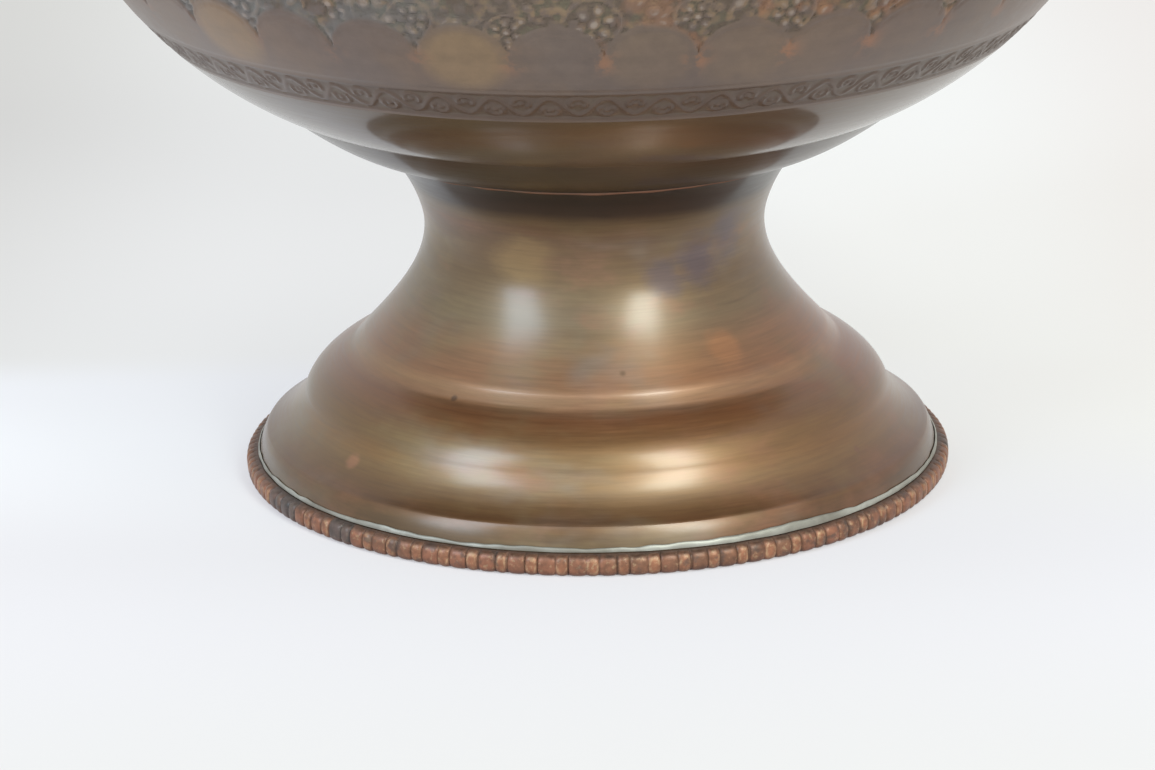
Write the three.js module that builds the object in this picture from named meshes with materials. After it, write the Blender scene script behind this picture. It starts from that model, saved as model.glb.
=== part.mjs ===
// A footed brass vase: spun sections lapped and soldered one on the next, with a bead-and-reel
// strip round the edge of the foot.
// Millimetres, +Z up. The origin is the centre of the circle that the foot stands on.
import * as THREE from 'three';

// Sheet and fits
const sheet = 1.2; // wall of every spun piece
const clearance = 0.3; // gap where two pieces meet
const solderSize = 1.1; // leg of the seam on the foot, and width of the bead under the cup
const seamBulge = 0.6; // middle of the seam's face, as a share of its leg
const beadAngle = THREE.MathUtils.degToRad(30); // how far below the stem's edge the bead lies

// Bead-and-reel strip round the foot
const footRadius = 80;
const stripHeight = 4.4;
const stripDepth = 2.7; // back to the crown of a barrel
const stripBacking = 0.8; // flat band that carries the beads
const beadPitch = 6.6; // one barrel, one ball and their two grooves
const crownAngles = [-50, 0, 50].map(THREE.MathUtils.degToRad); // points round a bead's front
// How far the front swells along one pitch: groove, barrel, groove, ball
const beadStations = [
  { along: 0, swell: 0.5 },
  { along: 0.07, swell: 1 },
  { along: 0.57, swell: 1 },
  { along: 0.64, swell: 0.5 },
  { along: 0.82, swell: 0.88 },
];

// Foot, from its standing edge up to the crease under the stem
const lowerStepWidth = 2.6;
const lowerStepRise = 5.8;
const coveWidth = 8.2;
const coveRise = 7.9;
const upperStepWidth = 11.7;
const upperStepRise = 10.6;

// Stem
const waistRadius = 38.2;
const waistRise = 27.9; // crease to waist
const stemFlareWidth = 10.1; // waist to the edge under the cup
const stemFlareRise = 19.1;

// Cup between stem and bowl
const cupRadius = 65.7;
const cupRise = 10.4; // floor to the rim that the bowl sits on
const bowlSeat = 3; // level ring of the bowl that lies over the rim

// Body
const bellyRadius = 116;
const bowlRise = 56.7; // cup to the widest point
const bellyLap = 3; // upright edge that holds the shoulder
const shoulderRise = 55;

// Neck and mouth
const neckFootRadius = 46;
const collarRadius = 2.2; // half-round wire round the foot of the neck
const neckWaistRadius = 35;
const neckWaistRise = 20; // socket to the narrowest point
const mouthRadius = 70; // outside of the rolled rim
const mouthRise = 62; // narrowest point to the wire in the rim
const rimWireRadius = 1.5;
const flareAngle = THREE.MathUtils.degToRad(35); // slope of the mouth where the rim starts
const curlAngle = THREE.MathUtils.degToRad(265); // how far the sheet is rolled round the wire

// Curves. Each runs along the lines to a corner, given as shares of its width and rise, and
// fullness says how far it keeps to them
const edgeRound = { across: 0.3, up: 0.5, fullness: 0.67 };
const coveHollow = { across: 0.81, up: 0.6, fullness: 0.67 };
const stepRound = { across: 0.16, up: 0.59, fullness: 0.67 };
const stemSweep = { across: 1, up: 0.65, fullness: 0.79 };
const stemFlare = { across: 0, up: 0.69, fullness: 0.47 };
const cupRound = { across: 0.73, up: 0.35, fullness: 0.66 };
const bowlRound = { across: 1, up: 0.21, fullness: 0.51 };
const shoulderRound = { across: 0, up: 0.78, fullness: 0.56 };
const neckSweep = { across: 1, up: 0.42, fullness: 0.67 };
const mouthFullness = 0.62;

// Facets
const turns = 32; // round each turned piece
const chordError = 0.3; // how far a facet may stand off its curve
const facetTurn = THREE.MathUtils.degToRad(45); // most that a curve turns along one facet
const wireSides = 6;

// Heights and radii where pieces seat
const stripBack = footRadius - stripDepth;
const edgeRadius = stripBack - clearance;
const edgeBand = stripHeight + clearance;
const creaseRadius = edgeRadius - lowerStepWidth - coveWidth - upperStepWidth;
const stemTopRadius = waistRadius + stemFlareWidth;
const stemTop = edgeBand + lowerStepRise + coveRise + upperStepRise + waistRise + stemFlareRise;
const cupFloor = stemTop + clearance;
const cupRim = cupFloor + cupRise;
const bellySeam = cupRim + clearance + bowlRise + bellyLap;
const neckSeat = bellySeam + clearance + shoulderRise;
const socketHeight = 2 * collarRadius + 2 * clearance;
const rimWireRing = mouthRadius - sheet - clearance - rimWireRadius;
const rimWireHeight = neckSeat + clearance + socketHeight + neckWaistRise + mouthRise;

// Finishes
const brownBrass = { color: 0x8a6f4e, roughness: 0.36, metalness: 0.9 };
const greyBrass = { color: 0x7b6a5a, roughness: 0.45, metalness: 0.85 };
const copperBrass = { color: 0x96624a, roughness: 0.5, metalness: 0.8 };
const solder = { color: 0x9b988c, roughness: 0.55, metalness: 0.7 };

const vase = new THREE.Group();

// Add a turned or beaded piece, with its axis along Z
function addPiece(name, geometry, finish) {
  const mesh = new THREE.Mesh(geometry, new THREE.MeshStandardMaterial(finish));
  mesh.name = name;
  vase.add(mesh);
}

// Turn a closed outline, given in radius and height, round the Z axis
function turned(outline, segments = turns) {
  return new THREE.LatheGeometry([...outline, outline[0]], segments).rotateX(Math.PI / 2);
}

// Carry a path on through one curve
function bend(path, width, rise, shape) {
  const start = path.currentPoint.clone();
  const end = new THREE.Vector2(start.x + width, start.y + rise);
  const corner = new THREE.Vector2(start.x + width * shape.across, start.y + rise * shape.up);
  const leave = start.clone().lerp(corner, shape.fullness);
  const arrive = end.clone().lerp(corner, shape.fullness);
  path.bezierCurveTo(leave.x, leave.y, arrive.x, arrive.y, end.x, end.y);
}

// Start a path at a radius and height
function pathFrom(radius, height) {
  return new THREE.Path().moveTo(radius, height);
}

// Points along a path, close enough together to keep to its curves
function trace(path) {
  const points = path.curves.flatMap((curve) => {
    const [start, middle, end] = [0, 0.5, 1].map((along) => curve.getTangent(along));
    const turn = start.angleTo(middle) + middle.angleTo(end);
    const stepsForDepth = Math.sqrt((curve.getLength() * turn) / (8 * chordError));
    const steps = Math.max(1, Math.ceil(stepsForDepth), Math.ceil(turn / facetTurn));
    return curve.getPoints(steps).slice(1);
  });
  return [path.curves[0].getPoint(0), ...points];
}

// The left-hand normal of the line from one point to the next, which points into the vessel
function inward(from, to) {
  return new THREE.Vector2(from.y - to.y, to.x - from.x).normalize();
}

// Closed outline of the sheet whose outer face follows a path. Its ends are cut square to the
// sheet, or the last one level
function sheetOutline(path, lastEndIsLevel = false) {
  const outer = trace(path);
  const last = outer.length - 1;
  const inner = outer.map((point, i) => {
    const before = inward(outer[Math.max(i - 1, 0)], outer[Math.max(i, 1)]);
    const after = inward(outer[Math.min(i, last - 1)], outer[Math.min(i + 1, last)]);
    const mitre = before.clone().add(after).normalize();
    return point.clone().addScaledVector(mitre, sheet / mitre.dot(before));
  });
  if (lastEndIsLevel) {
    const normal = inward(outer[last - 1], outer[last]);
    inner[last].set(outer[last].x + sheet / normal.x, outer[last].y);
  }
  return [...outer, ...inner.reverse()];
}

// A ring of round wire
function wireRing(ringRadius, height, wireRadius) {
  const section = pathFrom(ringRadius + wireRadius, height);
  section.absarc(ringRadius, height, wireRadius, 0, 2 * Math.PI, false);
  return turned(section.getPoints(wireSides / 2).slice(0, -1));
}

// Bead-and-reel strip: a flat-backed ring whose front swells into a barrel and a ball in turn
function beadStrip() {
  const front = stripBack + stripBacking;
  const middle = stripHeight / 2;
  const crown = crownAngles.map((angle) => new THREE.Vector2(
    front + (stripDepth - stripBacking) * Math.cos(angle),
    middle + middle * Math.sin(angle),
  ));
  const section = [
    new THREE.Vector2(stripBack, 0),
    new THREE.Vector2(front, 0),
    ...crown,
    new THREE.Vector2(front, stripHeight),
    new THREE.Vector2(stripBack, stripHeight),
  ];
  const repeats = Math.round((2 * Math.PI * footRadius) / beadPitch);
  const stations = beadStations.length;
  const ring = turned(section, repeats * stations);
  const points = ring.getAttribute('position');
  const pointsPerStation = section.length + 1;
  for (let i = 0; i < points.count; i += 1) {
    const step = Math.floor(i / pointsPerStation);
    const station = beadStations[step % stations];
    const repeat = Math.floor(step / stations);
    const angle = (2 * Math.PI * (repeat + station.along)) / repeats;
    const sectionPoint = section[i % pointsPerStation % section.length];
    const isCrown = crown.includes(sectionPoint);
    const swell = isCrown ? station.swell : 1;
    const radius = front + (sectionPoint.x - front) * swell;
    const height = middle + (sectionPoint.y - middle) * swell;
    points.setXYZ(i, radius * Math.cos(angle), radius * Math.sin(angle), height);
  }
  ring.deleteAttribute('normal');
  ring.computeVertexNormals();
  return ring;
}

// Foot and stem, spun from one sheet and open underneath
function footShell() {
  const path = pathFrom(edgeRadius, 0);
  path.lineTo(edgeRadius, edgeBand);
  bend(path, -lowerStepWidth, lowerStepRise, edgeRound);
  bend(path, -coveWidth, coveRise, coveHollow);
  bend(path, -upperStepWidth, upperStepRise, stepRound);
  bend(path, waistRadius - creaseRadius, waistRise, stemSweep);
  bend(path, stemFlareWidth, stemFlareRise, stemFlare);
  return turned(sheetOutline(path, true));
}

// Solder run into the corner between the strip and the foot
function footSeam() {
  const corner = new THREE.Vector2(stripBack, edgeBand);
  return turned([
    corner,
    new THREE.Vector2(corner.x + solderSize, corner.y),
    new THREE.Vector2(corner.x + seamBulge * solderSize, corner.y + seamBulge * solderSize),
    new THREE.Vector2(corner.x, corner.y + solderSize),
  ]);
}

// Bead of solder that holds the edge of the stem under the cup
function stemSolder() {
  const beadRadius = solderSize / 2;
  const reach = beadRadius + clearance;
  return wireRing(
    stemTopRadius + reach * Math.cos(beadAngle),
    stemTop - reach * Math.sin(beadAngle),
    beadRadius,
  );
}

// Shallow cup whose floor closes the vase
function baseCup() {
  const path = pathFrom(0, cupFloor);
  path.lineTo(stemTopRadius, cupFloor);
  bend(path, cupRadius - stemTopRadius, cupRise, cupRound);
  return turned(sheetOutline(path, true));
}

// Bowl, open below, with a level ring that lies on the cup's rim
function lowerBowl() {
  const path = pathFrom(cupRadius - bowlSeat, cupRim + clearance);
  path.lineTo(cupRadius, cupRim + clearance);
  bend(path, bellyRadius - cupRadius, bowlRise, bowlRound);
  path.lineTo(bellyRadius, bellySeam);
  return turned(sheetOutline(path));
}

// Shoulder, stepped in to lap inside the bowl and turned up to hold the neck
function shoulder() {
  const lapRadius = bellyRadius - sheet - clearance;
  const collarInside = neckFootRadius - sheet - clearance;
  const path = pathFrom(lapRadius, bellySeam - bellyLap + clearance);
  path.lineTo(lapRadius, bellySeam + clearance);
  path.lineTo(bellyRadius, bellySeam + clearance);
  bend(path, collarInside - bellyRadius, shoulderRise, shoulderRound);
  path.lineTo(collarInside, neckSeat + socketHeight);
  return turned(sheetOutline(path));
}

// Half-round wire that hides the joint at the foot of the neck
function neckCollar() {
  const inside = neckFootRadius + clearance;
  const section = pathFrom(inside, neckSeat);
  section.absarc(inside, neckSeat + collarRadius, collarRadius, -Math.PI / 2, Math.PI / 2, false);
  return turned(section.getPoints(wireSides / 2));
}

// Neck, flared into the mouth and rolled over a wire
function neck() {
  const rollRadius = rimWireRadius + clearance;
  const rollStart = Math.PI / 2 + flareAngle;
  const lip = new THREE.Vector2(
    rimWireRing + rollRadius * Math.cos(rollStart),
    rimWireHeight + rollRadius * Math.sin(rollStart),
  );
  const path = pathFrom(neckFootRadius, neckSeat + clearance);
  path.lineTo(neckFootRadius, neckSeat + clearance + socketHeight);
  bend(path, neckWaistRadius - neckFootRadius, neckWaistRise, neckSweep);
  const flareWidth = lip.x - neckWaistRadius;
  const flareRise = lip.y - path.currentPoint.y;
  const flareCorner = 1 - (flareWidth * Math.tan(flareAngle)) / flareRise;
  bend(path, flareWidth, flareRise, { across: 0, up: flareCorner, fullness: mouthFullness });
  path.absarc(rimWireRing, rimWireHeight, rollRadius, rollStart, rollStart - curlAngle, true);
  return turned(sheetOutline(path));
}

addPiece('foot_bead_strip', beadStrip(), copperBrass);
addPiece('foot_shell', footShell(), brownBrass);
addPiece('foot_solder_seam', footSeam(), solder);
addPiece('stem_solder_ring', stemSolder(), copperBrass);
addPiece('base_cup', baseCup(), brownBrass);
addPiece('lower_bowl', lowerBowl(), greyBrass);
addPiece('shoulder', shoulder(), greyBrass);
addPiece('neck_collar', neckCollar(), brownBrass);
addPiece('neck', neck(), brownBrass);
addPiece('rim_wire', wireRing(rimWireRing, rimWireHeight, rimWireRadius), brownBrass);

export default vase;
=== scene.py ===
"""A footed brass vase, dressed for its photograph.

Spun sections carry the foot, cup, body and neck; the bowl and shoulder are chased, and a
bead-and-reel strip is soldered round the foot. Sizes are in millimetres until a mesh is
finished and in metres from then on. Azimuths start at the front of the vase, at -Y, and
grow towards +X.
"""
import logging
import math
from dataclasses import dataclass
from enum import Enum
from typing import Any, Union

import bmesh
import bpy
import numpy as np
from mathutils import Matrix, Vector
from mathutils.geometry import interpolate_bezier


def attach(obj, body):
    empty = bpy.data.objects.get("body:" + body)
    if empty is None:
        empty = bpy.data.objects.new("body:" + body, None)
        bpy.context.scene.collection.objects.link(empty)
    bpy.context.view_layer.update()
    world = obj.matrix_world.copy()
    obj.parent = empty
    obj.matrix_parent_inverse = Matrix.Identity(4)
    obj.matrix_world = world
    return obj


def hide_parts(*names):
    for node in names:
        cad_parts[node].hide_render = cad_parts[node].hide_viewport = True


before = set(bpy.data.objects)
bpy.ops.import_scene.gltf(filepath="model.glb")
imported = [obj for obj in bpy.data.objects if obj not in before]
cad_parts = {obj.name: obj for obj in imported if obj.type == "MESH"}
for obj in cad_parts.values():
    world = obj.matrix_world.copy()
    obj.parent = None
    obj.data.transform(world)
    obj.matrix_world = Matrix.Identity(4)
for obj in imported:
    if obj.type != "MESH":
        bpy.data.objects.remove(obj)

log = logging.getLogger("vase")

BODY = "root"
METRES = 0.001
SHEET = 1.2
CLEARANCE = 0.3
FINE_TURN = 256
SHARP_ANGLE = math.radians(32)

Colour = tuple[float, float, float, float]
Settings = dict[str, Any]
Sockets = dict[Union[int, str], Any]


def tone(red: int, green: int, blue: int) -> Colour:
    """Turn a colour, given in 0 to 255, into the linear one that shaders take.

    Args:
        red: Red part, 0 to 255.
        green: Green part, 0 to 255.
        blue: Blue part, 0 to 255.

    Returns:
        The linear colour, with full alpha.
    """
    shares = [part / 255 for part in (red, green, blue)]
    linear = [s / 12.92 if s <= 0.04045 else ((s + 0.055) / 1.055) ** 2.4 for s in shares]
    return (*linear, 1.0)


class Slot(Enum):
    """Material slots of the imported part."""

    BROWN_BRASS = "brown_brass"
    DARK_BRASS = "dark_brass"
    GREY_BRASS = "grey_brass"
    COPPERY_STRIP = "coppery_strip"
    SOLDER = "solder"


# Profiles and turning


@dataclass(frozen=True)
class Bend:
    """Shape of one curve of a profile.

    It runs along the lines to a corner, given as shares of its width and rise, and fullness
    says how far it keeps to them.
    """

    across: float
    up: float
    fullness: float


class Profile:
    """Outer line of a spun piece, traced upwards in radius and height."""

    def __init__(self, radius: float, height: float) -> None:
        """Start the line at a radius and height."""
        self.points = [Vector((radius, height))]

    def line(self, radius: float, height: float) -> "Profile":
        """Carry the line straight to a radius and height, and return the profile."""
        self.points.append(Vector((radius, height)))
        return self

    def bend(self, width: float, rise: float, shape: Bend, steps: int = 20) -> "Profile":
        """Carry the line on through one curve.

        Args:
            width: Change of radius over the curve.
            rise: Change of height over the curve.
            shape: Where the curve turns.
            steps: Facets along the curve.

        Returns:
            The profile itself.
        """
        start = self.points[-1]
        end = start + Vector((width, rise))
        corner = start + Vector((width * shape.across, rise * shape.up))
        leave = start.lerp(corner, shape.fullness)
        arrive = end.lerp(corner, shape.fullness)
        self.points += interpolate_bezier(start, leave, arrive, end, steps + 1)[1:]
        return self

    def arc(self, centre: Vector, radius: float, start: float, turn: float, steps: int) -> "Profile":
        """Carry the line round part of a circle.

        Args:
            centre: Centre of the circle.
            radius: Its radius.
            start: Angle at which the arc starts.
            turn: Angle that it covers, negative when it runs clockwise.
            steps: Facets along the arc.

        Returns:
            The profile itself.
        """
        angles = [start + turn * i / steps for i in range(steps + 1)]
        self.points += [centre + radius * Vector((math.cos(a), math.sin(a))) for a in angles]
        return self

    def table(self) -> tuple[np.ndarray, np.ndarray, np.ndarray]:
        """List the line's radii, heights and distances run along it."""
        line = np.array([tuple(point) for point in self.points])
        steps = np.hypot(*np.diff(line, axis=0).T)
        return line[:, 0], line[:, 1], np.concatenate([[0.0], np.cumsum(steps)])

    def part(self, low: float, high: float, spacing: float) -> "Profile":
        """Take the part of the line between two heights, with even spacing.

        Args:
            low: Height at which the part starts.
            high: Height at which it ends.
            spacing: Longest step along it.

        Returns:
            The part as a profile of its own.
        """
        radii, heights, runs = self.table()
        first, last = np.interp([low, high], heights, runs)
        count = math.ceil((last - first) / spacing)
        even = np.linspace(first, last, count + 1)
        points = zip(np.interp(even, runs, radii), np.interp(even, runs, heights))
        taken = Profile(*next(points))
        for radius, height in points:
            taken.line(radius, height)
        return taken

    def inner(self, level_end: bool = False) -> list[Vector]:
        """Work out the inner face of the sheet whose outer face follows the line.

        Args:
            level_end: Whether the sheet's upper edge is level, and not cut square.

        Returns:
            The points of the inner face, upwards.
        """
        line = self.points
        steps = [(b - a).normalized() for a, b in zip(line, line[1:])]
        normals = [Vector((-step.y, step.x)) for step in steps]
        inside = []
        for i, point in enumerate(line):
            before, after = normals[max(i - 1, 0)], normals[min(i, len(normals) - 1)]
            mitre = (before + after).normalized()
            inside.append(point + mitre * SHEET / mitre.dot(before))
        if level_end:
            inside[-1] = line[-1] + Vector((SHEET / normals[-1].x, 0))
        return inside

    def wall(self, level_end: bool = False) -> list[Vector]:
        """Close the sheet's outline: up its outer face and down its inner one."""
        return [*self.points, *reversed(self.inner(level_end))]


def new_piece(name: str, bm: bmesh.types.BMesh) -> bpy.types.Object:
    """Turn a bmesh in millimetres into a smooth object in metres, at the origin.

    Args:
        name: Name of the object and its mesh.
        bm: The bmesh, which is freed.

    Returns:
        The new object.
    """
    bmesh.ops.scale(bm, vec=Vector.Fill(3, METRES), verts=bm.verts)
    mesh = bpy.data.meshes.new(name)
    bm.to_mesh(mesh)
    bm.free()
    mesh.shade_smooth()
    mesh.set_sharp_from_angle(angle=SHARP_ANGLE)
    piece = bpy.data.objects.new(name, mesh)
    bpy.context.scene.collection.objects.link(piece)
    return piece


def turned(outline: list[Vector], steps: int = FINE_TURN) -> bmesh.types.BMesh:
    """Turn a closed outline once round the vase's axis.

    An eighth of the turn is spun, and then doubled three times, which is far quicker.

    Args:
        outline: Points of the outline, in radius and height.
        steps: Facets round the axis, a multiple of 8.

    Returns:
        A closed shell with its faces pointing out.
    """
    bm = bmesh.new()
    verts = [bm.verts.new((0, -point.x, point.y)) for point in outline]
    edges = [bm.edges.new(pair) for pair in zip(verts, verts[1:] + verts[:1])]
    angle = math.pi / 4
    bmesh.ops.spin(
        bm, geom=verts + edges, cent=(0, 0, 0), axis=(0, 0, 1), dvec=(0, 0, 0),
        angle=angle, steps=steps // 8, use_duplicate=False,
    )
    for _ in range(3):
        copy = bmesh.ops.duplicate(bm, geom=[*bm.verts, *bm.edges, *bm.faces])["geom"]
        moved = [part for part in copy if isinstance(part, bmesh.types.BMVert)]
        bmesh.ops.rotate(bm, cent=(0, 0, 0), matrix=Matrix.Rotation(angle, 3, "Z"), verts=moved)
        angle *= 2
    bmesh.ops.remove_doubles(bm, verts=bm.verts, dist=0.001)
    bmesh.ops.recalc_face_normals(bm, faces=bm.faces)
    return bm


class Skin:
    """Coordinates of a bmesh's vertices as arrays, in the terms of a turned piece."""

    def __init__(self, bm: bmesh.types.BMesh) -> None:
        """Read the vertices of a bmesh."""
        self.bm = bm
        self.points = np.array([tuple(vert.co) for vert in bm.verts])
        x, y, self.height = self.points.T
        self.radius = np.hypot(x, y)
        self.azimuth = np.arctan2(x, -y)

    def move(self, radius: np.ndarray, height: np.ndarray) -> None:
        """Put every vertex at a new radius and height, on its own azimuth.

        Args:
            radius: New radius of each vertex.
            height: New height of each vertex.
        """
        x, y = radius * np.sin(self.azimuth), -radius * np.cos(self.azimuth)
        for vert, place in zip(self.bm.verts, np.column_stack([x, y, height]).tolist()):
            vert.co = place

    def mark(self, name: str, values: np.ndarray) -> None:
        """Keep one number per vertex, for the finish to read.

        Args:
            name: Name of the mark.
            values: One value per vertex.
        """
        layer = self.bm.verts.layers.float.new(name)
        for vert, value in zip(self.bm.verts, values.tolist()):
            vert[layer] = value


def wave(seed: int, angle: np.ndarray, count: int, strength: float) -> np.ndarray:
    """Add up a few random waves that close round the axis.

    Args:
        seed: Seed of the waves.
        angle: Azimuths to work out.
        count: Highest number of waves round the axis.
        strength: Rough size of the result.

    Returns:
        The height of the waves at each azimuth.
    """
    rng = np.random.default_rng(seed)
    total = np.zeros_like(angle)
    for _ in range(9):
        total += np.sin(rng.integers(2, count) * angle + rng.uniform(0, 2 * math.pi))
    return strength * total / 3


# Shaders


class Wire:
    """A value in a shader that takes part in Python expressions."""

    def __init__(self, shader: "Shader", socket: bpy.types.NodeSocket) -> None:
        """Wrap an output socket."""
        self.shader = shader
        self.socket = socket

    def _join(self, operation: str, first: Any, second: Any) -> "Wire":
        """Make the Math node of one operation and return its result."""
        node = self.shader.node("ShaderNodeMath", {"operation": operation}, {0: first, 1: second})
        return Wire(self.shader, node.outputs[0])

    def __add__(self, other: Any) -> "Wire":
        """Add."""
        return self._join("ADD", self, other)

    def __radd__(self, other: Any) -> "Wire":
        """Add to a number."""
        return self._join("ADD", other, self)

    def __sub__(self, other: Any) -> "Wire":
        """Subtract."""
        return self._join("SUBTRACT", self, other)

    def __rsub__(self, other: Any) -> "Wire":
        """Subtract from a number."""
        return self._join("SUBTRACT", other, self)

    def __mul__(self, other: Any) -> "Wire":
        """Multiply."""
        return self._join("MULTIPLY", self, other)

    def __rmul__(self, other: Any) -> "Wire":
        """Multiply a number."""
        return self._join("MULTIPLY", other, self)

    def __truediv__(self, other: Any) -> "Wire":
        """Divide."""
        return self._join("DIVIDE", self, other)

    def __pow__(self, other: Any) -> "Wire":
        """Raise to a power."""
        return self._join("POWER", self, other)

    def step(self, low: float, high: float) -> "Wire":
        """Ease from 0 at one value to 1 at another.

        Args:
            low: Value at which the result is 0.
            high: Value at which the result is 1.

        Returns:
            The eased value.
        """
        node = self.shader.node(
            "ShaderNodeMapRange", {"interpolation_type": "SMOOTHSTEP"},
            {"Value": self, "From Min": low, "From Max": high},
        )
        return Wire(self.shader, node.outputs[0])


class Shader:
    """The nodes of one material or world, all made in one way."""

    def __init__(self, tree: bpy.types.NodeTree) -> None:
        """Start from an empty tree."""
        self.tree = tree
        tree.nodes.clear()

    def node(
        self, kind: str, settings: Settings | None = None, sockets: Sockets | None = None
    ) -> bpy.types.Node:
        """Make a node.

        Args:
            kind: Type of the node.
            settings: Properties to set first; stops are a ramp's places and colours.
            sockets: Values or wires of its input sockets.

        Returns:
            The node.
        """
        node = self.tree.nodes.new(kind)
        for key, value in (settings or {}).items():
            if key == "stops":
                self._set_stops(node.color_ramp, value)
            else:
                setattr(node, key, value)
        for key, value in (sockets or {}).items():
            if isinstance(value, Wire):
                self.tree.links.new(value.socket, node.inputs[key])
            else:
                node.inputs[key].default_value = value
        return node

    @staticmethod
    def _set_stops(ramp: bpy.types.ColorRamp, stops: list[tuple[float, Colour]]) -> None:
        """Give a ramp its stops.

        Args:
            ramp: The ramp, with its two first stops.
            stops: Place and colour of each stop, in order.
        """
        while len(ramp.elements) < len(stops):
            ramp.elements.new(1.0)
        for element, (place, colour) in zip(ramp.elements, stops):
            element.position = place
            element.color = colour

    def wire(self, kind: str, settings: Settings, sockets: Sockets, output: Any = 0) -> Wire:
        """Make a node and return one of its outputs.

        Args:
            kind: Type of the node.
            settings: Properties to set first.
            sockets: Values or wires of its input sockets.
            output: Name or number of the output.

        Returns:
            The output.
        """
        return Wire(self, self.node(kind, settings, sockets).outputs[output])

    def place(self) -> Wire:
        """Return the place on the object, in millimetres."""
        metres = self.wire("ShaderNodeTexCoord", {}, {}, "Object")
        return self.wire(
            "ShaderNodeVectorMath", {"operation": "SCALE"}, {0: metres, "Scale": 1 / METRES}
        )

    def mark(self, name: str) -> Wire:
        """Return a number kept on the mesh."""
        return self.wire("ShaderNodeAttribute", {"attribute_name": name}, {}, "Fac")

    def stretched(self, place: Wire, scale: Vector) -> Wire:
        """Stretch or squeeze a place along the three axes."""
        return self.wire(
            "ShaderNodeVectorMath", {"operation": "MULTIPLY"}, {0: place, 1: scale}
        )

    def noise(self, place: Wire, size: float, detail: float = 3.0, w: Any = 0.0) -> Wire:
        """Make four-dimensional noise.

        Args:
            place: Where to read it.
            size: Size of its largest patches, in the units of the place.
            detail: Octaves of finer noise.
            w: Fourth coordinate, which also tells patterns apart.

        Returns:
            The noise, around 0.5.
        """
        return self.wire(
            "ShaderNodeTexNoise", {"noise_dimensions": "4D"},
            {"Vector": place, "W": w, "Scale": 1 / size, "Detail": detail, "Roughness": 0.6},
        )

    def mix(self, share: Any, first: Any, second: Any, blend: str = "MIX") -> Wire:
        """Mix two colours.

        Args:
            share: How much of the second to take.
            first: First colour.
            second: Second colour.
            blend: How the second goes over the first.

        Returns:
            The mixed colour.
        """
        return self.wire(
            "ShaderNodeMix", {"data_type": "RGBA", "blend_type": blend},
            {0: share, 6: first, 7: second}, 2,
        )

    def shade(self, colour: Wire, light: Wire) -> Wire:
        """Lighten or darken a colour by a number around 1."""
        return self.wire(
            "ShaderNodeVectorMath", {"operation": "SCALE"}, {0: colour, "Scale": light}
        )

    def tint_and_shade_sides(
        self, place: Wire, colour: Any, reach: float, tints: tuple[Colour, Colour], wobble: Wire
    ) -> Wire:
        """Darken and tint a colour towards the left and the right of the vase: painted shade at the
        sides, with a different cast on each side.

        Args:
            place: Place on the object, in millimetres.
            colour: The colour.
            reach: How far out the tints are at their full strength.
            tints: Darkening tints on the left and on the right: painted shade with a colour cast.
            wobble: Noise that makes the change uneven.

        Returns:
            The tinted colour.
        """
        across, _, _ = self.parts(place)
        stops = [(0.0, tints[0]), (0.5, (1.0, 1.0, 1.0, 1.0)), (1.0, tints[1])]
        share = 0.5 + across / (2 * reach) + (wobble - 0.5) * 0.5
        tint = self.wire("ShaderNodeValToRGB", {"stops": stops}, {0: share})
        return self.mix(1.0, colour, tint, "MULTIPLY")

    def parts(self, place: Wire) -> tuple[Wire, Wire, Wire]:
        """Return the three coordinates of a place."""
        split = self.node("ShaderNodeSeparateXYZ", {}, {0: place})
        across, back, height = (Wire(self, output) for output in split.outputs)
        return across, back, height

    def turning(self, place: Wire, size: float, length: float = 160.0) -> Wire:
        """Make the lines that spinning leaves: noise that changes slowly round the axis.

        Args:
            place: Place on the object, in millimetres.
            size: Width of the widest lines.
            length: How far they run before they fade.

        Returns:
            The noise, around 0.5.
        """
        across, back, height = self.parts(place)
        flat = self.stretched(place, Vector((1, 1, 0)))
        radius = self.wire("ShaderNodeVectorMath", {"operation": "LENGTH"}, {0: flat}, "Value")
        drift = size / length
        ring = self.wire(
            "ShaderNodeCombineXYZ", {}, {"X": radius, "Y": height, "Z": across * drift}
        )
        return self.noise(ring, size, 4.0, back * drift)


def new_material(name: str) -> tuple[bpy.types.Material, Shader]:
    """Start an empty node material.

    Args:
        name: Name of the material.

    Returns:
        The material and its shader.
    """
    material = bpy.data.materials.new(name)
    material.use_nodes = True
    return material, Shader(material.node_tree)


# Finishes


@dataclass(frozen=True)
class Stain:
    """A small round stain: where it lies, how wide it is, its colour and strength."""

    place: tuple[float, float, float]
    width: float
    colour: Colour
    strength: float


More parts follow.
